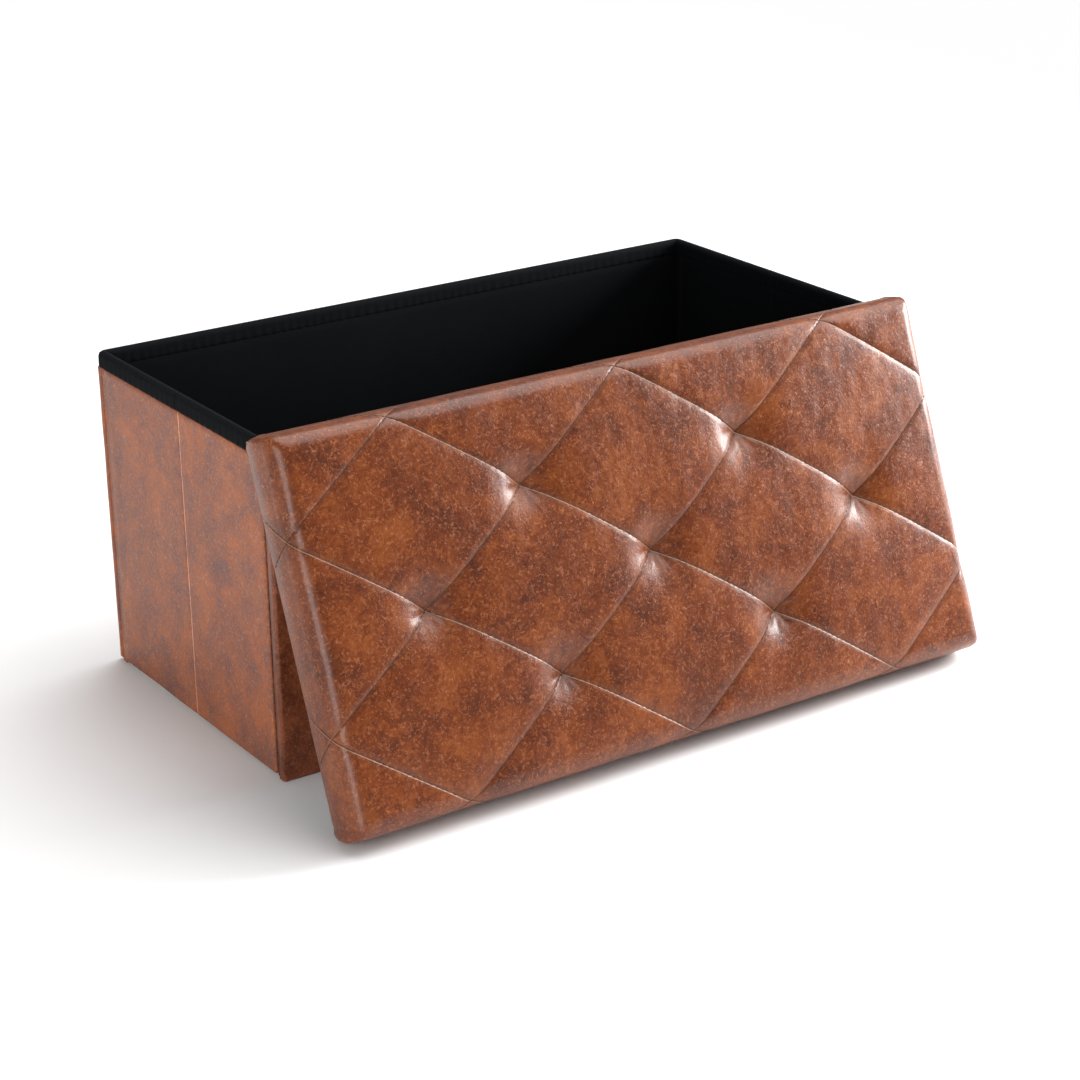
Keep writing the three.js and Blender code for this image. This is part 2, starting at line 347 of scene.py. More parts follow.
def leaf_span(side, part, near):
    if (part == "front") == (side == "left"):
        return near, LEAF_FAR
    return -LEAF_FAR, -near


for seed, (side, part) in enumerate(leaves, 5):
    start, end = leaf_span(side, part, LEAF_NEAR)
    (x0, y0), (x1, y1) = wall_path(side, start, end)
    inner = x0 + (BOARD_FACE if side == "left" else -BOARD_FACE)
    corners = [(inner, y0), (x0, y0), (x1, y1), (inner, y1)]
    if part == "rear":
        corners = corners[1:] if abs(y0) > abs(y1) else corners[:-1]
    skin = sweep(f"{side}_{part}_skin", rounded_path(corners, BOARD_FACE * 0.95, SKIN_STEP),
                 slab(0, LEATHER, LEAF_FOOT, SKIN_TOP), lit_wall_leather, f"{side}_{part}_leaf",
                 waviness(seed))
    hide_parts(f"{side}_{part}_leather")


# Crease strips: the leathercloth runs on from leaf to leaf over the middle crease as a narrow
# pressed bead, painted paler than the panels as a painted highlight along the bead.
bead_highlight_leather = leathercloth(
    "rubbed_crease_leathercloth", srgb(178, 118, 94), srgb(206, 152, 128), srgb(222, 172, 150),
    srgb(232, 196, 178), 0.42, 0.10, 0.4)
BEAD_HALF = 0.0011
BEAD_PROUD = 0.0003
BEAD_BACK = 0.0015
STRIP_FOOT = LEAF_FOOT + 0.0006


def join_leaves(piece):
    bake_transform(piece)


for side in ("left", "right"):
    strip = sweep(f"{side}_crease_strip",
                  rounded_path(wall_path(side, -BEAD_HALF, BEAD_HALF), 0, 0.0003),
                  slab(-BEAD_PROUD, BEAD_BACK, STRIP_FOOT, SKIN_TOP - 0.0005), bead_highlight_leather,
                  None, lambda travel, height: 0.9e3 * (travel - BEAD_HALF) ** 2)
    join_leaves(strip)


# Corner channels: the same leathercloth, sewn in as a narrow strip between a long wall and the end
# leaf beside it. The front ones are sunken and pucker along their stitches, and their finish is
# painted darker as painted shade in the recess; the back ones lie flush. The back right one is
# only sewn to the back wall.
corner_pairs = {
    "front_left": ("front_wall", "left_front_leaf", -1, -1),
    "front_right": ("front_wall", "right_front_leaf", 1, -1),
    "back_left": ("left_rear_leaf", "back_wall", -1, 1),
    "back_right": ("back_wall", "back_wall", 1, 1)}


def join_corner(piece, corner):
    first, second, x_side, y_side = corner_pairs[corner]
    if first == second:
        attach(piece, first)
        return
    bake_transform(piece)


SUNK = 0.0024
FLUSH = 0.0001
CHANNEL_THICK = 0.0012
CHANNEL_TUCK = 0.0004


def pucker(travel, height):
    across = np.clip(travel / CHANNEL, 0, 1)
    return 0.0012 * np.sin(pi * across) + 0.0003 * np.sin(2 * pi * height / 0.014)


def corner_path(x_side, y_side, near, far, step=0.0006):
    # From one side of the channel to the other, with the inside of the box on the left
    y0, y1 = y_side * near, y_side * far
    going_down = x_side < 0
    y0, y1 = (max(y0, y1), min(y0, y1)) if going_down else (min(y0, y1), max(y0, y1))
    return rounded_path([(x_side * HALF_LENGTH, y0), (x_side * HALF_LENGTH, y1)], 0, step)


# Painted shade: the sunken front channels get a darker copy of the leathercloth for the shade in
# their recess.
shaded_channel_leather = leathercloth(
    "channel_leathercloth", srgb(58, 26, 16), srgb(86, 42, 26), srgb(112, 58, 38),
    srgb(140, 88, 66), 0.5, 0.05, 0.5)
for corner, (_, _, x_side, y_side) in corner_pairs.items():
    sunken = y_side < 0
    near = SUNK if sunken else FLUSH
    channel = sweep(f"{corner}_channel", corner_path(x_side, y_side, LEAF_FAR - CHANNEL_TUCK,
                                                     HALF_DEPTH - WALL + CHANNEL_TUCK),
                    slab(near, near + CHANNEL_THICK, WALL_FOOT, SKIN_TOP),
                    shaded_channel_leather if sunken else lit_wall_leather, None,
                    pucker if sunken else None)
    join_corner(channel, corner)
    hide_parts(f"{corner}_corner_seam")


# Stitches: dark brown upholstery thread. Every stitch is a short raised length that dives into
# the leathercloth at both ends.
def sewing_thread(name, dark, light):
    finish, shader, where = new_finish(name, 0.62, 0.35)
    twist = add_node(finish, "ShaderNodeTexWave", {"Vector": where, "Scale": 380.0,
                                                   "Distortion": 1.5},
                     bands_direction="DIAGONAL").outputs["Fac"]
    colour = shades(finish, twist, [(0.2, dark), (0.8, light)])
    return set_look(finish, shader, colour, bump(finish, twist, 0.0002))


brown_thread = sewing_thread("brown_thread", srgb(70, 34, 20), srgb(140, 84, 56))


def stitch_row(name, starts, ends, outward, finish, body, thick=0.00042, rise=0.0003):
    # stations: share of the length, share of the thickness, and how far proud or sunk
    sides = 6
    starts, ends, outward = (np.array(a, float) for a in (starts, ends, outward))
    run = ends - starts
    along = run / np.linalg.norm(run, axis=1)[:, None]
    aside = np.cross(along, outward)
    stations = [(0, 0.35, -1.3), (0.14, 0.85, 0.3), (0.5, 1, 1), (0.86, 0.85, 0.3),
                (1, 0.35, -1.3)]
    ring = [(cos(2 * pi * k / sides), sin(2 * pi * k / sides)) for k in range(sides)]
    points = []
    for share, width, lift in stations:
        middle = starts + run * share + outward * rise * lift
        for c, s in ring:
            points.append(middle + aside * thick * width * c + outward * thick * width * s)
    points = np.stack(points, 1)
    faces = []
    for n in range(len(starts)):
        first = n * len(stations) * sides
        last = first + (len(stations) - 1) * sides
        faces += tube_faces(len(stations), sides, first)
        faces += [tuple(range(first, first + sides)), tuple(range(last, last + sides))]
    piece = make_piece(name, points.reshape(-1, 3), faces, finish, body)


CORNER_STITCH = 0.0052
CORNER_STITCH_GAP = 0.0024
STITCH_SUNK = 0.0022
STITCH_ASIDE = 0.0016
for corner, (_, _, x_side, y_side) in corner_pairs.items():
    if y_side > 0:
        continue
    feet = np.arange(0.006, SKIN_TOP - 0.008, CORNER_STITCH + CORNER_STITCH_GAP)
    x = x_side * (HALF_LENGTH - STITCH_SUNK)
    y = y_side * (HALF_DEPTH - WALL - STITCH_ASIDE)
    starts = [(x, y, z) for z in feet]
    ends = [(x, y, z + CORNER_STITCH) for z in feet]
    outward = [(x_side, 0, 0)] * len(feet)
    stitch_row(f"{corner}_corner_stitches", starts, ends, outward, brown_thread, "front_wall")


# Linings: thin black cloth over the inside of every panel, tucked under the rim binding, with a
# gusset of the same cloth across each corner and each middle crease.
def black_cloth(name, thread_pitch, dark, light, relief, roughness=0.92):
    finish, shader, where = new_finish(name, roughness, 0.08)
    shader.inputs["Sheen Weight"].default_value = 0.01
    shader.inputs["Sheen Roughness"].default_value = 0.5
    threads = 0.5
    for turn in ((1, 0, 1), (1, 1, 0), (0, 1, 1)):
        split = add_node(finish, "ShaderNodeVectorMath", {0: where, 1: turn},
                         operation="DOT_PRODUCT").outputs["Value"]
        wave = maths(finish, "SINE", maths(finish, "MULTIPLY", split, 2 * pi / thread_pitch))
        threads = maths(finish, "MULTIPLY_ADD", wave, 0.17, threads)
    fuzz = noise(finish, where, 900, 4, 0.7)
    cloud = noise(finish, where, 9, 4)
    tone = maths(finish, "MULTIPLY_ADD", fuzz, 0.5, maths(finish, "MULTIPLY", threads, 0.3))
    tone = maths(finish, "MULTIPLY_ADD", cloud, 0.3, tone)
    colour = shades(finish, tone, [(0.35, dark), (0.75, light)])
    normal = bump(finish, threads, 0.0003, relief)
    return set_look(finish, shader, colour, bump(finish, fuzz, 0.0002, relief, normal))


lining_cloth = black_cloth("lining_cloth", 0.0011, srgb(4, 5, 7), srgb(16, 18, 21), 0.5)
LINING_END = HALF_LENGTH - BOARD_FACE
wall_panels = [("front", -LINING_END, LINING_END, "front_wall"),
               ("back", -LINING_END, LINING_END, "back_wall")]
for side, part in leaves:
    start, end = leaf_span(side, part, LEAF_NEAR)
    wall_panels.append((f"{side}_{part}", start, end, f"{side}_{part}_leaf"))
for seed, (panel, start, end, body) in enumerate(wall_panels, 20):
    low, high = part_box(f"{panel}_lining")
    path = rounded_path(wall_path(panel.split("_")[0], start, end), 0, 0.008)
    lining = sweep(f"{panel}_inside_cloth", path, slab(LINING_FACE, WALL, low.z, high.z, 0.008),
                   lining_cloth, body, lambda travel, height, seed=seed:
                   0.0006 * (0.5 + 0.5 * ripple(travel, height, 0.11, seed)))
    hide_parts(f"{panel}_lining")

for corner, (_, _, x_side, y_side) in corner_pairs.items():
    gusset = sweep(f"{corner}_lining_gusset",
                   corner_path(x_side, y_side, LEAF_FAR - 0.0008, HALF_DEPTH - WALL + 0.0008),
                   slab(LINING_FACE, WALL - 0.0001, 0.0042, SKIN_TOP), lining_cloth)
    join_corner(gusset, corner)

for side in ("left", "right"):
    strip = sweep(f"{side}_crease_lining",
                  rounded_path(wall_path(side, -0.003, 0.003), 0, 0.0005),
                  slab(WALL - 0.0004, WALL + 0.0006, STRIP_FOOT, SKIN_TOP), lining_cloth)
    join_leaves(strip)


# Rim binding: a soft roll of thick black cloth folded over the top edge of every panel and sewn
# through. It turns the corners in one piece, and the front rim is finished with a round cord.
binding_cloth = black_cloth("binding_cloth", 0.0013, srgb(3, 4, 5), srgb(17, 19, 22), 0.8)
RIM_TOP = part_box("back_binding")[1].z
ROLL_HALF = WALL / 2 + 0.001
ROLL_FOOT = SKIN_TOP + 0.0003
RIM_TURN = 0.0088
RIM_TUCK = 0.0003


def roll_section():
    foot = ROLL_FOOT
    middle = WALL / 2
    outside = [(middle - ROLL_HALF, z) for z in steps(foot + 0.0012, RIM_TOP - ROLL_HALF, 0.002)]
    crown = [(middle - ROLL_HALF * cos(a), RIM_TOP - ROLL_HALF + ROLL_HALF * sin(a))
             for a in np.linspace(0, pi, 13)[1:-1]]
    inside = [(middle + ROLL_HALF, z)
              for z in steps(RIM_TOP - ROLL_HALF, foot + 0.0012, 0.002)]
    board_in, board_out, board_top = 0.0072, 0.002, RIM_TOP - 0.0019
    slot = [(ROLL_HALF + middle - 0.001, foot), (board_in, foot + 0.0003), (board_in, board_top),
            (board_out, board_top), (board_out, foot + 0.0003), (middle - ROLL_HALF + 0.001, foot)]
    return outside + crown + inside + slot


def roll_pucker(travel, height):
    return 0.00035 * np.sin(2 * pi * travel / 0.011 + 2 * np.sin(travel * 37)) * (
        np.clip((RIM_TOP - height) / 0.017, 0, 1))


ROLL_NEAR = 0.0034
for side, part in leaves:
    name = f"{side}_{part}"
    start, end = leaf_span(side, part, ROLL_NEAR)
    roll = sweep(f"{name}_rim_roll", rounded_path(wall_path(side, start, end), 0, 0.0025),
                 roll_section(), binding_cloth, f"{name}_leaf", roll_pucker)
    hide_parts(f"{name}_binding")

for side in ("left", "right"):
    gusset = sweep(f"{side}_crease_rim_gusset",
                   rounded_path(wall_path(side, -ROLL_NEAR - 0.0004, ROLL_NEAR + 0.0004), 0,
                                0.0004), roll_section(), binding_cloth)
    join_leaves(gusset)

(x0, y0), (x1, y1) = wall_path("back", -HALF_LENGTH, HALF_LENGTH)
inner = HALF_DEPTH - WALL + RIM_TUCK
roll = sweep("back_rim_roll",
             rounded_path([(x0, inner), (x0, y0), (x1, y1), (x1, inner)], RIM_TURN, 0.0025, 8),
             roll_section(), binding_cloth, "back_wall", roll_pucker)
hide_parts("back_binding")

cord_low, cord_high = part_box("front_rim_cord")
CORD_RADIUS = (cord_high.z - cord_low.z) / 2
cord_y, cord_z = (cord_low.y + cord_high.y) / 2, (cord_low.z + cord_high.z) / 2
CORD_END = HALF_LENGTH - 0.013
for x_side, side in ((-1, "left"), (1, "right")):
    inner = -HALF_DEPTH + WALL - RIM_TUCK
    turn = [(x_side * HALF_LENGTH, inner), (x_side * HALF_LENGTH, -HALF_DEPTH),
            (x_side * CORD_END, -HALF_DEPTH)]
    turn = turn if x_side < 0 else turn[::-1]
    elbow = sweep(f"front_{side}_rim_turn", rounded_path(turn, RIM_TURN, 0.002, 8),
                  roll_section(), binding_cloth, "front_wall")

for corner, (_, _, x_side, y_side) in corner_pairs.items():
    gusset = sweep(f"{corner}_rim_gusset",
                   corner_path(x_side, y_side, LEAF_FAR - 0.0006, HALF_DEPTH - WALL + 0.0006,
                               0.0008), roll_section(), binding_cloth)
    join_corner(gusset, corner)

tape = [(-0.0006, ROLL_FOOT), (-0.001, ROLL_FOOT + 0.002), (-0.0004, cord_z - 0.0035),
        (0.002, cord_z - 0.0025), (WALL - 0.002, cord_z - 0.0025), (WALL + 0.0004, cord_z - 0.0035),
        (WALL + 0.001, ROLL_FOOT + 0.002), (WALL + 0.0006, ROLL_FOOT),
        (WALL, ROLL_FOOT), (WALL, cord_z - 0.0056), (0, cord_z - 0.0056), (0, ROLL_FOOT)]
tape_path = rounded_path(wall_path("front", -CORD_END, CORD_END), 0, 0.004)
front_tape = sweep("front_rim_tape", tape_path, tape, binding_cloth, "front_wall")

CORD_SIDES = 28
cord_turns = [2 * pi * k / CORD_SIDES for k in range(CORD_SIDES)]
points = []
cord_xs = steps(-CORD_END - 0.001, CORD_END + 0.001, 0.0022)
for x in cord_xs:
    radius = CORD_RADIUS * (1 - 0.02 * sin(2 * pi * x / 0.011))
    points += [(x, cord_y + radius * cos(a), cord_z + radius * sin(a)) for a in cord_turns]
faces = tube_faces(len(cord_xs), CORD_SIDES)
faces += [tuple(range(CORD_SIDES)), tuple(range(len(points) - CORD_SIDES, len(points)))]
cord = make_piece("front_rim_piping", points, faces, binding_cloth, "front_rim")
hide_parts("front_rim_cord")


# Base: a thin board covered with a sheet of the lining cloth, glued down all over. A strip of
# cloth hinges it along the foot of the front wall.
def cloth_plate(top, bottom):
    # Points and faces of a sheet, from its upper and lower surfaces given as grids of points
    rows, columns = top.shape[:2]
    layer = rows * columns
    faces = []
    for j in range(rows - 1):
        for i in range(columns - 1):
            a = j * columns + i
            quad = (a, a + 1, a + columns + 1, a + columns)
            faces += [quad, tuple(layer + v for v in quad[::-1])]
    rim = ([i for i in range(columns)] + [j * columns + columns - 1 for j in range(1, rows)]
           + [(rows - 1) * columns + i for i in range(columns - 2, -1, -1)]
           + [j * columns for j in range(rows - 2, 0, -1)])
    for n, a in enumerate(rim):
        b = rim[(n + 1) % len(rim)]
        faces.append((a, layer + a, layer + b, b))
    return np.concatenate([top.reshape(-1, 3), bottom.reshape(-1, 3)]), faces


base_low, base_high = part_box("base_cover")
gx, gy = np.meshgrid(steps(base_low.x, base_high.x, 0.012), steps(base_low.y, base_high.y, 0.012))
edge = np.minimum.reduce([gx - base_low.x, base_high.x - gx, gy - base_low.y, base_high.y - gy])
lift = 0.0002 * ripple(gx, gy, 0.12, 40) * np.clip(edge / 0.02, 0, 1)
top = base_high.z - 0.0002 + lift - 0.0003 * (edge < 0.001)
points, faces = cloth_plate(np.stack([gx, gy, top], -1),
                            np.stack([gx, gy, 0 * gx + base_low.z], -1))
base_cloth = make_piece("base_cloth", points, faces, lining_cloth, "base")
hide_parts("base_cover")


# Lid cover: one piece of glossy brown leathercloth over foam, pulled down by seven blind tufts and
# quilted in diamonds. It rolls over the edges, covers the sides and is turned in as a hem beneath.
LID_LENGTH = 0.768
LID_DEPTH = 0.381
LID_EDGE = 0.054
LID_CROWN = 0.007
LID_LEAN = radians(21.4)
LID_SHIFT = -0.012
EDGE_ROLL = 0.020
FOOT_ROLL = 0.004
HEM_FACE = 0.0011
HEM_WIDTH = 0.026
TUFT_PITCH_X = 0.130
TUFT_PITCH_Y = 0.0925
TUFTS = [(-2, 0), (0, 0), (2, 0), (-1, 1), (1, 1), (-1, -1), (1, -1)]
up_slope = Vector((0, sin(LID_LEAN), cos(LID_LEAN)))
face_out = Vector((0, -cos(LID_LEAN), sin(LID_LEAN)))
touch = Vector((LID_SHIFT, cord_y, cord_z)) + face_out * (CORD_RADIUS + 0.0003)
below_touch = (touch.z - 0.0003 + HEM_FACE * sin(LID_LEAN)) / cos(LID_LEAN)
lid_origin = touch + up_slope * (LID_DEPTH / 2 - below_touch)
lid_axes = np.array([(1, 0, 0), up_slope, face_out])


def to_lid_place(points):
    return np.asarray(points) @ lid_axes + np.array(lid_origin)


flat_x = LID_LENGTH / 2 - EDGE_ROLL
flat_y = LID_DEPTH / 2 - EDGE_ROLL
side_height = LID_EDGE - EDGE_ROLL - FOOT_ROLL - HEM_FACE
roll_end = EDGE_ROLL * pi / 2
side_end = roll_end + side_height
foot_end = side_end + FOOT_ROLL * pi / 2
hem_end = foot_end + HEM_WIDTH - FOOT_ROLL


def edge_profile(beyond):
    # Outset, height and the outward and upward parts of the normal, by distance along the cover
    # from where it starts to roll over the edge
    turn = np.clip(beyond / EDGE_ROLL, 0, pi / 2)
    down = np.clip(beyond - roll_end, 0, side_height)
    tuck = np.clip((beyond - side_end) / FOOT_ROLL, 0, pi / 2)
    hem = np.clip(beyond - foot_end, 0, None)
    outset = EDGE_ROLL * np.sin(turn) - FOOT_ROLL * (1 - np.cos(tuck)) - hem
    height = LID_EDGE - EDGE_ROLL * (1 - np.cos(turn)) - down - FOOT_ROLL * np.sin(tuck)
    outset = outset + SIDE_BULGE * np.sin(pi * down / side_height)
    return outset, height, np.sin(turn) * np.cos(tuck), np.cos(turn) - np.sin(tuck)


SIDE_BULGE = 0.0014
PILLOW = 0.0017
PILLOW_EASE = 0.010
PINCH = 0.0006
PINCH_WIDTH = 0.0021
TUFT_SINK = 0.0130
TUFT_REACH = 0.021
TUFT_HOLLOW = 0.003
TUFT_HOLLOW_REACH = 0.04
GATHER = 0.00035
SEAM_SPACING = TUFT_PITCH_X * TUFT_PITCH_Y / hypot(TUFT_PITCH_X, TUFT_PITCH_Y)


def seam_distances(u, v):
    p, q = u / TUFT_PITCH_X, v / TUFT_PITCH_Y
    return [np.abs((t + 1) % 2 - 1) * SEAM_SPACING for t in (p + q, p - q)]


def quilt_height(u, v, beyond):
    rising, falling = seam_distances(u, v)
    fade = 1 - 0.72 * np.clip(beyond / roll_end, 0, 1) ** 1.5
    fade = fade * np.clip((foot_end - beyond) / 0.02, 0, 1)
    swell = (1 - np.exp(-rising / PILLOW_EASE)) * (1 - np.exp(-falling / PILLOW_EASE))
    pinch = np.exp(-(rising / PINCH_WIDTH) ** 2) + np.exp(-(falling / PINCH_WIDTH) ** 2)
    height = (PILLOW * (swell - 0.8) - PINCH * pinch) * fade
    for column, row in TUFTS:
        du, dv = u - column * TUFT_PITCH_X, v - row * TUFT_PITCH_Y
        reach = np.hypot(du, dv)
        height = height - TUFT_SINK * np.exp(-(reach / TUFT_REACH) ** 1.5)
        height = height - TUFT_HOLLOW * np.exp(-(reach / TUFT_HOLLOW_REACH) ** 2)
        gathers = np.cos(9 * np.arctan2(dv, du) + column) * np.exp(-((reach - 0.013) / 0.008) ** 2)
        height = height + GATHER * gathers
    crown_x = 1 - np.clip(np.abs(u) / (LID_LENGTH / 2), 0, 1) ** 4
    crown_y = 1 - np.clip(np.abs(v) / (LID_DEPTH / 2), 0, 1) ** 4
    height = height + LID_CROWN * crown_x * crown_y
    loose = 0.0006 * ripple(u, v, 0.075, 61) + 0.00025 * ripple(u, v, 0.022, 62)
    return height + loose * fade


def lid_surface(base, aim, beyond, corner_share):
    # corner_share is 0 beside the edges and 1 in the middle of a corner's turn
    outset, height, out_part, up_part = edge_profile(beyond)
    square = 2.2 + 7 * np.clip(beyond / side_end, 0, 1) ** 0.8
    norm = (np.abs(aim[..., 0]) ** square + np.abs(aim[..., 1]) ** square) ** (1 / square)
    plan = base + aim * (outset / norm)[..., None]
    flat = base + aim * beyond[..., None]
    rise = quilt_height(flat[..., 0], flat[..., 1], beyond)
    folds = np.clip((beyond - roll_end * 0.6) / side_height, 0, 1) * np.clip(
        (foot_end - beyond) / 0.004, 0, 1)
    angle = np.arctan2(np.abs(aim[..., 1]), np.abs(aim[..., 0]))
    tuck = np.exp(-((angle - 1.02) / 0.07) ** 2)
    pleats = 0.0008 * np.sin(11 * angle + 40 * beyond) - 0.0016 * tuck
    rise = rise + corner_share * folds * pleats
    return np.stack([plan[..., 0] + aim[..., 0] * out_part * rise,
                     plan[..., 1] + aim[..., 1] * out_part * rise,
                     height + up_part * rise], -1), flat


CELL = 0.0016
xs, ys = steps(-flat_x, flat_x, CELL), steps(-flat_y, flat_y, CELL)
grid_u, grid_v = np.meshgrid(xs, ys)
zero = np.zeros_like(grid_u)
face_points, face_flat = lid_surface(np.stack([grid_u, grid_v], -1),
                                     np.stack([zero + 1, zero], -1), zero, zero)
count_x, count_y = len(xs), len(ys)
faces = [(j * count_x + i, j * count_x + i + 1, (j + 1) * count_x + i + 1, (j + 1) * count_x + i)
         for j in range(count_y - 1) for i in range(count_x - 1)]

TURN_STEPS = 28
bases, aims, shares = [], [], []


def add_corner(x, y, from_angle):
    for k in range(TURN_STEPS + 1):
        angle = from_angle + pi / 2 * k / TURN_STEPS
        bases.append((x, y))
        aims.append((cos(angle), sin(angle)))
        shares.append(sin(pi * k / TURN_STEPS))


def add_edge(places, aim):
    for place in places:
        bases.append(place)
        aims.append(aim)
        shares.append(0)


add_edge([(x, -flat_y) for x in xs[1:-1]], (0, -1))
add_corner(flat_x, -flat_y, -pi / 2)
add_edge([(flat_x, y) for y in ys[1:-1]], (1, 0))
add_corner(flat_x, flat_y, 0)
add_edge([(x, flat_y) for x in xs[-2:0:-1]], (0, 1))
add_corner(-flat_x, flat_y, pi / 2)
add_edge([(-flat_x, y) for y in ys[-2:0:-1]], (-1, 0))
add_corner(-flat_x, -flat_y, pi)
bases, aims, shares = np.array(bases), np.array(aims), np.array(shares)
beyonds = np.concatenate([
    np.linspace(0, roll_end, 18)[:-1], np.linspace(roll_end, side_end, 14)[:-1],
    np.linspace(side_end, foot_end, 6)[:-1], np.linspace(foot_end, hem_end, 8)])
rings = [lid_surface(bases, aims, np.full(len(bases), s), shares) for s in beyonds]
ring_points = np.concatenate([r[0] for r in rings])
ring_flat = np.concatenate([r[1] for r in rings])
around = len(bases)
first = count_x * count_y
for k in range(len(beyonds) - 1):
    for i in range(around):
        n = (i + 1) % around
        a = first + k * around
        faces.append((a + i, a + n, a + around + n, a + around + i))
last_ring = first + (len(beyonds) - 1) * around
HEM_THICK = 0.0015
hem_inside = ring_points[-around:] + np.array([0, 0, HEM_THICK])
points = np.concatenate([face_points.reshape(-1, 3), ring_points, hem_inside,
                         [[0, 0, HEM_FACE + HEM_THICK]]])
flats = np.concatenate([face_flat.reshape(-1, 2), ring_flat, ring_flat[-around:], [[0, 0]]])
centre = len(points) - 1
for i in range(around):
    n = (i + 1) % around
    faces.append((last_ring + i, last_ring + n, last_ring + around + n, last_ring + around + i))
    faces.append((last_ring + around + i, last_ring + around + n, centre))


def lid_leathercloth():
    finish, shader, colour, normal, rough = leather_layers(
        "lid_leathercloth", srgb(76, 33, 15), srgb(106, 48, 16), srgb(130, 67, 25),
        srgb(190, 122, 82), 0.33, 0.24, 0.30)
    lay = add_node(finish, "ShaderNodeUVMap", {}, uv_map="cut").outputs["UV"]
    parts = add_node(finish, "ShaderNodeSeparateXYZ", {"Vector": lay}).outputs
    p = maths(finish, "DIVIDE", parts["X"], TUFT_PITCH_X)
    q = maths(finish, "DIVIDE", parts["Y"], TUFT_PITCH_Y)
    nearest = None
    # Painted highlight: a pale cream band just below each seam, strong on the falling seams and
    # faint on the rising ones, stands in for the light caught on the seam's lower lip.
    for join, lip_highlight_strength in (("ADD", 0.42), ("SUBTRACT", 0.08)):
        t = maths(finish, "WRAP", maths(finish, join, p, q), 1.0, -1.0)
        gap = maths(finish, "MULTIPLY", maths(finish, "ABSOLUTE", t), SEAM_SPACING)
        below = maths(finish, "MULTIPLY", t, -SEAM_SPACING)
        beside = maths(finish, "ABSOLUTE", maths(finish, "SUBTRACT", below, 0.0011))
        lip_highlight = maths(finish, "SUBTRACT", 1.0, maths(finish, "DIVIDE", beside, 0.0006, clamp=True))
        colour = mixed(finish, maths(finish, "MULTIPLY", lip_highlight, lip_highlight_strength), colour,
                       srgb(238, 204, 168))
        nearest = gap if nearest is None else maths(finish, "MINIMUM", nearest, gap)
    # Painted shade in the seam grooves: a narrow dark line along each seam and a faint darker band
    # within 7 mm of it.
    line = maths(finish, "SUBTRACT", 1.0, maths(finish, "DIVIDE", nearest, 0.0006, clamp=True))
    lip = maths(finish, "SUBTRACT", 1.0, maths(finish, "DIVIDE", nearest, 0.0015, clamp=True))
    soft = maths(finish, "SUBTRACT", 1.0, maths(finish, "DIVIDE", nearest, 0.007, clamp=True))
    shade = maths(finish, "MULTIPLY_ADD", line, 0.6, maths(finish, "MULTIPLY", soft, 0.10))
    colour = mixed(finish, shade, colour, srgb(48, 20, 10))
    normal = bump(finish, maths(finish, "SUBTRACT", 1.0, lip), 0.0007, 1.0, normal)
    return set_look(finish, shader, colour, normal, rough)


cover = make_piece("lid_quilted_cover", to_lid_place(points), faces, lid_leathercloth(), "lid",
                   flats)
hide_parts("lid_cover", "lid_foam")


# Lid stitching: the quilting seams cross the face in two directions, run over the rolled edges and
# on down the sides, in the same dark thread.
LID_STITCH = 0.0042
LID_STITCH_GAP = 0.0024


def on_cover(u, v):
    base = np.stack([np.clip(u, -flat_x, flat_x), np.clip(v, -flat_y, flat_y)], -1)
    over = np.stack([u, v], -1) - base
    beyond = np.linalg.norm(over, axis=-1)
    aim = np.where(beyond[:, None] > 1e-9, over / np.maximum(beyond, 1e-9)[:, None], [1.0, 0.0])
    return lid_surface(base, aim, beyond, np.zeros_like(u))[0], beyond, over


starts, ends, outs = [], [], []
for slope in (1, -1):
    direction = np.array([TUFT_PITCH_X, -slope * TUFT_PITCH_Y])
    direction /= np.linalg.norm(direction)
    for offset in (-4, -2, 0, 2, 4):
        middle = np.array([offset * TUFT_PITCH_X / 2, slope * offset * TUFT_PITCH_Y / 2])
        travel = np.arange(-0.6, 0.6, LID_STITCH + LID_STITCH_GAP)
        tail = middle + direction * travel[:, None]
        head = tail + direction * LID_STITCH
        a, beyond_a, over_a = on_cover(tail[:, 0], tail[:, 1])
        b, beyond_b, _ = on_cover(head[:, 0], head[:, 1])
        corner = (np.abs(over_a) > 0.002).all(1)
        keep = (np.maximum(beyond_a, beyond_b) < side_end - 0.001) & ~corner
        aside = np.array([-direction[1], direction[0]]) * 0.0004
        c, _, _ = on_cover(tail[:, 0] + aside[0], tail[:, 1] + aside[1])
        normal = np.cross(b - a, c - a)
        normal /= np.maximum(np.linalg.norm(normal, axis=1), 1e-12)[:, None]
        starts.append(a[keep] + normal[keep] * 0.0001)
        ends.append(b[keep] + normal[keep] * 0.0001)
        outs.append(normal[keep])
starts, ends, outs = (np.concatenate(group) for group in (starts, ends, outs))
stitch_row("lid_quilting_stitches", to_lid_place(starts), to_lid_place(ends), outs @ lid_axes,
           brown_thread, "lid", 0.00028, 0.0003)


# Tuft ties: waxed thread from each tuft through the foam and the board. Each is pulled tight and
# knotted round a small washer under the board.
TIE_SIDES = 12
for n, (column, row) in enumerate(TUFTS, 1):
    tuft = on_cover(np.array([column * TUFT_PITCH_X]), np.array([row * TUFT_PITCH_Y]))[0]
    top = float(tuft[0, 2])
    profile = [(0.0, HEM_FACE), (0.0066, HEM_FACE), (0.007, HEM_FACE + 0.0004),
               (0.007, 0.0022), (0.0066, 0.0026), (0.0012, 0.0026), (0.001, 0.0032)]
    profile += [(0.001 + 0.00018 * (k % 2), z)
                for k, z in enumerate(np.linspace(0.004, top - 0.003, 30))]
    profile += [(0.0, top - 0.0025)]
    points = []
    for radius, z in profile:
        for k in range(TIE_SIDES):
            angle = 2 * pi * k / TIE_SIDES
            points.append((column * TUFT_PITCH_X + radius * cos(angle),
                           row * TUFT_PITCH_Y + radius * sin(angle), z))
    tie = make_piece(f"lid_tie_{n}", to_lid_place(points), tube_faces(len(profile), TIE_SIDES),
                     brown_thread, "lid")
    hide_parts(f"lid_tuft_tie_{n}")


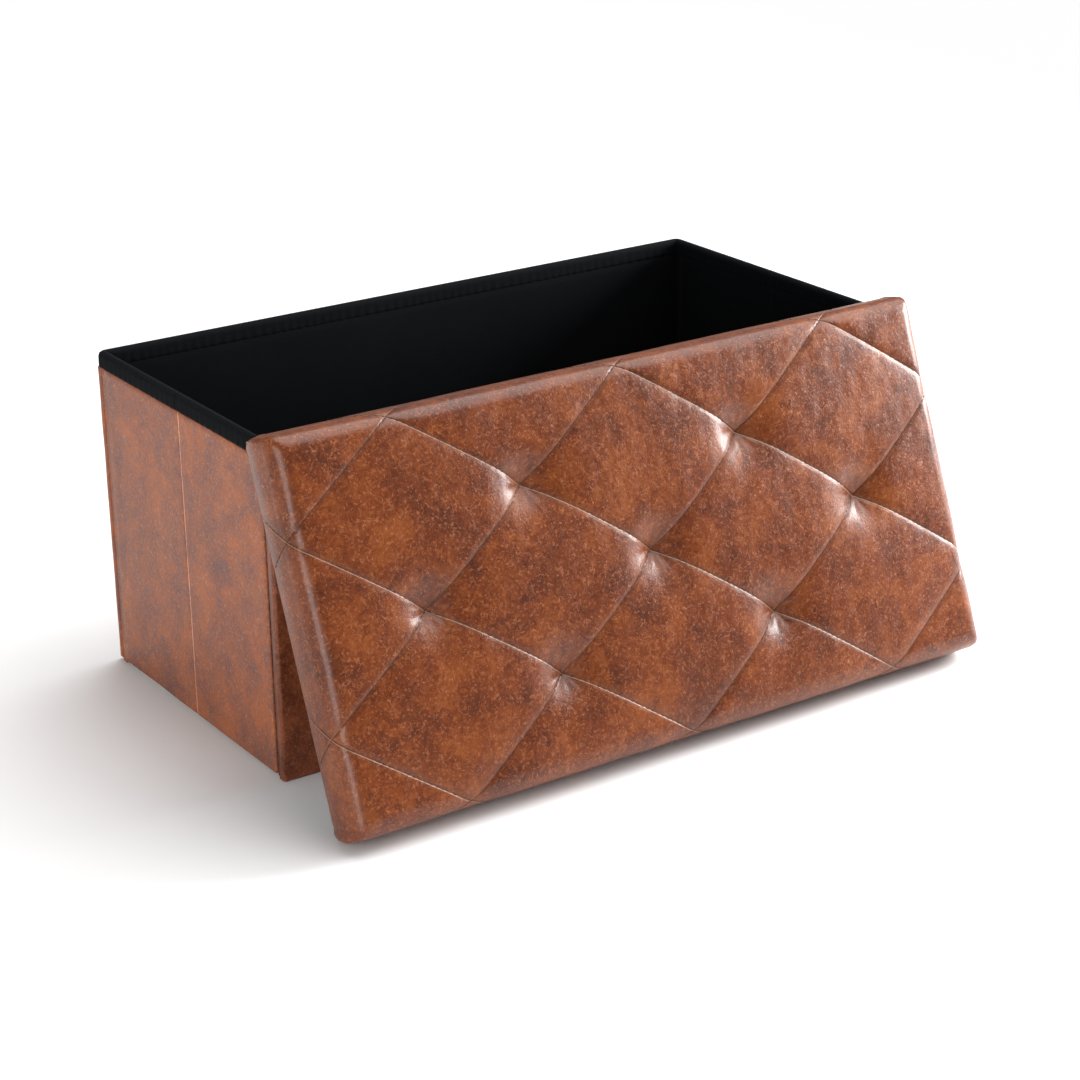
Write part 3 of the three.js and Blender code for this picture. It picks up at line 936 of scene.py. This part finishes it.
# Lid underside: a sheet of thin black cloth that covers the board and the hem of the cover. Steel
# staples hold it to the board all round, through the hem.
underside_cloth = black_cloth("underside_cloth", 0.0017, srgb(9, 9, 10), srgb(26, 26, 28), 0.6)
SHEET_MARGIN = 0.012
SHEET_THICK = 0.0008
half_x, half_y = LID_LENGTH / 2 - SHEET_MARGIN, LID_DEPTH / 2 - SHEET_MARGIN
gx, gy = np.meshgrid(steps(-half_x, half_x, 0.006), steps(-half_y, half_y, 0.006))
inset = np.minimum(half_x - np.abs(gx), half_y - np.abs(gy))
sag = 0.0002 * (1 + ripple(gx, gy, 0.07, 70)) * np.clip(inset / 0.012, 0, 1)
points, faces = cloth_plate(np.stack([gx, gy, sag + SHEET_THICK], -1),
                            np.stack([gx, gy, sag], -1))
underside = make_piece("lid_underside_cloth", to_lid_place(points), faces, underside_cloth, "lid")
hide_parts("lid_sheet")


def staple_steel():
    finish, shader, where = new_finish("staple_steel", 0.35)
    shader.inputs["Metallic"].default_value = 1.0
    colour = shades(finish, noise(finish, where, 300, 4), [(0.3, srgb(120, 118, 112)),
                                                          (0.7, srgb(196, 194, 188))])
    return set_look(finish, shader, colour)


STAPLE = 0.010
STAPLE_PITCH = 0.045
STAPLE_MARGIN = 0.02
STAPLE_INSET = 0.007
STAPLE_Z = -0.0001
starts, ends = [], []
for y in (-half_y + STAPLE_INSET, half_y - STAPLE_INSET):
    for x in np.arange(-half_x + STAPLE_MARGIN, half_x - STAPLE_MARGIN, STAPLE_PITCH):
        starts.append((x, y, STAPLE_Z))
        ends.append((x + STAPLE, y, STAPLE_Z))
for x in (-half_x + STAPLE_INSET, half_x - STAPLE_INSET):
    for y in np.arange(-half_y + STAPLE_MARGIN, half_y - STAPLE_MARGIN, STAPLE_PITCH):
        starts.append((x, y, STAPLE_Z))
        ends.append((x, y + STAPLE, STAPLE_Z))
downward = np.tile([[0.0, 0.0, -1.0]], (len(starts), 1))
stitch_row("lid_staples", to_lid_place(starts), to_lid_place(ends), downward @ lid_axes,
           staple_steel(), "lid", 0.0004, 0.0001)


# Studio: a pale floor under one large soft source from above, with a strong soft light at the
# right and two weak ones at the left.
floor_mesh = bpy.data.meshes.new("floor")
floor_mesh.from_pydata([(-12, -12, -0.0002), (12, -12, -0.0002), (12, 14, -0.0002),
                        (-12, 14, -0.0002)], [], [(0, 1, 2, 3)])
floor = bpy.data.objects.new("floor", floor_mesh)
bpy.context.scene.collection.objects.link(floor)
floor_paint = bpy.data.materials.new("pale_floor")
floor_paint.use_nodes = True
floor_shader = floor_paint.node_tree.nodes["Principled BSDF"]
floor_shader.inputs["Base Color"].default_value = (0.92, 0.92, 0.92, 1)
floor_shader.inputs["Roughness"].default_value = 0.9
floor_mesh.materials.append(floor_paint)

world = bpy.data.worlds.new("studio")
world.use_nodes = True
world.node_tree.nodes["Background"].inputs["Color"].default_value = (1, 1, 1, 1)
world.node_tree.nodes["Background"].inputs["Strength"].default_value = 0.26
bpy.context.scene.world = world

sun = bpy.data.lights.new("overhead_diffuser", "SUN")
sun.energy, sun.angle = 2.9, radians(60)
diffuser = bpy.data.objects.new("overhead_diffuser", sun)
diffuser.rotation_euler = Vector((0.45, 0.05, 0.89)).to_track_quat("Z", "Y").to_euler()
bpy.context.scene.collection.objects.link(diffuser)


def soft_light(name, place, aim, width, height, power):
    lamp = bpy.data.lights.new(name, "AREA")
    lamp.shape = "RECTANGLE"
    lamp.size, lamp.size_y, lamp.energy = width, height, power
    holder = bpy.data.objects.new(name, lamp)
    holder.location = place
    holder.rotation_euler = (Vector(aim) - Vector(place)).to_track_quat("-Z", "Y").to_euler()
    bpy.context.scene.collection.objects.link(holder)


soft_light("right_box", (1.95, -0.55, 0.80), (0, -0.25, 0.2), 1.1, 0.9, 84)
soft_light("left_box", (-2.6, 0.5, 1.1), (-0.3, 0, 0.2), 1.6, 1.4, 5)
soft_light("left_strip", (-2.0, -1.35, 0.62), (-0.4, -0.3, 0.2), 0.85, 1.1, 20)

bpy.context.scene.view_settings.view_transform = "Standard"
lens = bpy.data.cameras.new("camera")
lens.lens, lens.sensor_width = 86.5, 36
camera = bpy.data.objects.new("camera", lens)
camera.location = (-1.4230, -2.1934, 1.1379)
gaze = Vector((-0.0719, -0.182, 0.1828)) - camera.location
level = gaze.to_track_quat("-Z", "Y").to_matrix()
camera.rotation_euler = (level @ Matrix.Rotation(radians(-0.802), 3, "Z")).to_euler()
bpy.context.scene.collection.objects.link(camera)
bpy.context.scene.camera = camera
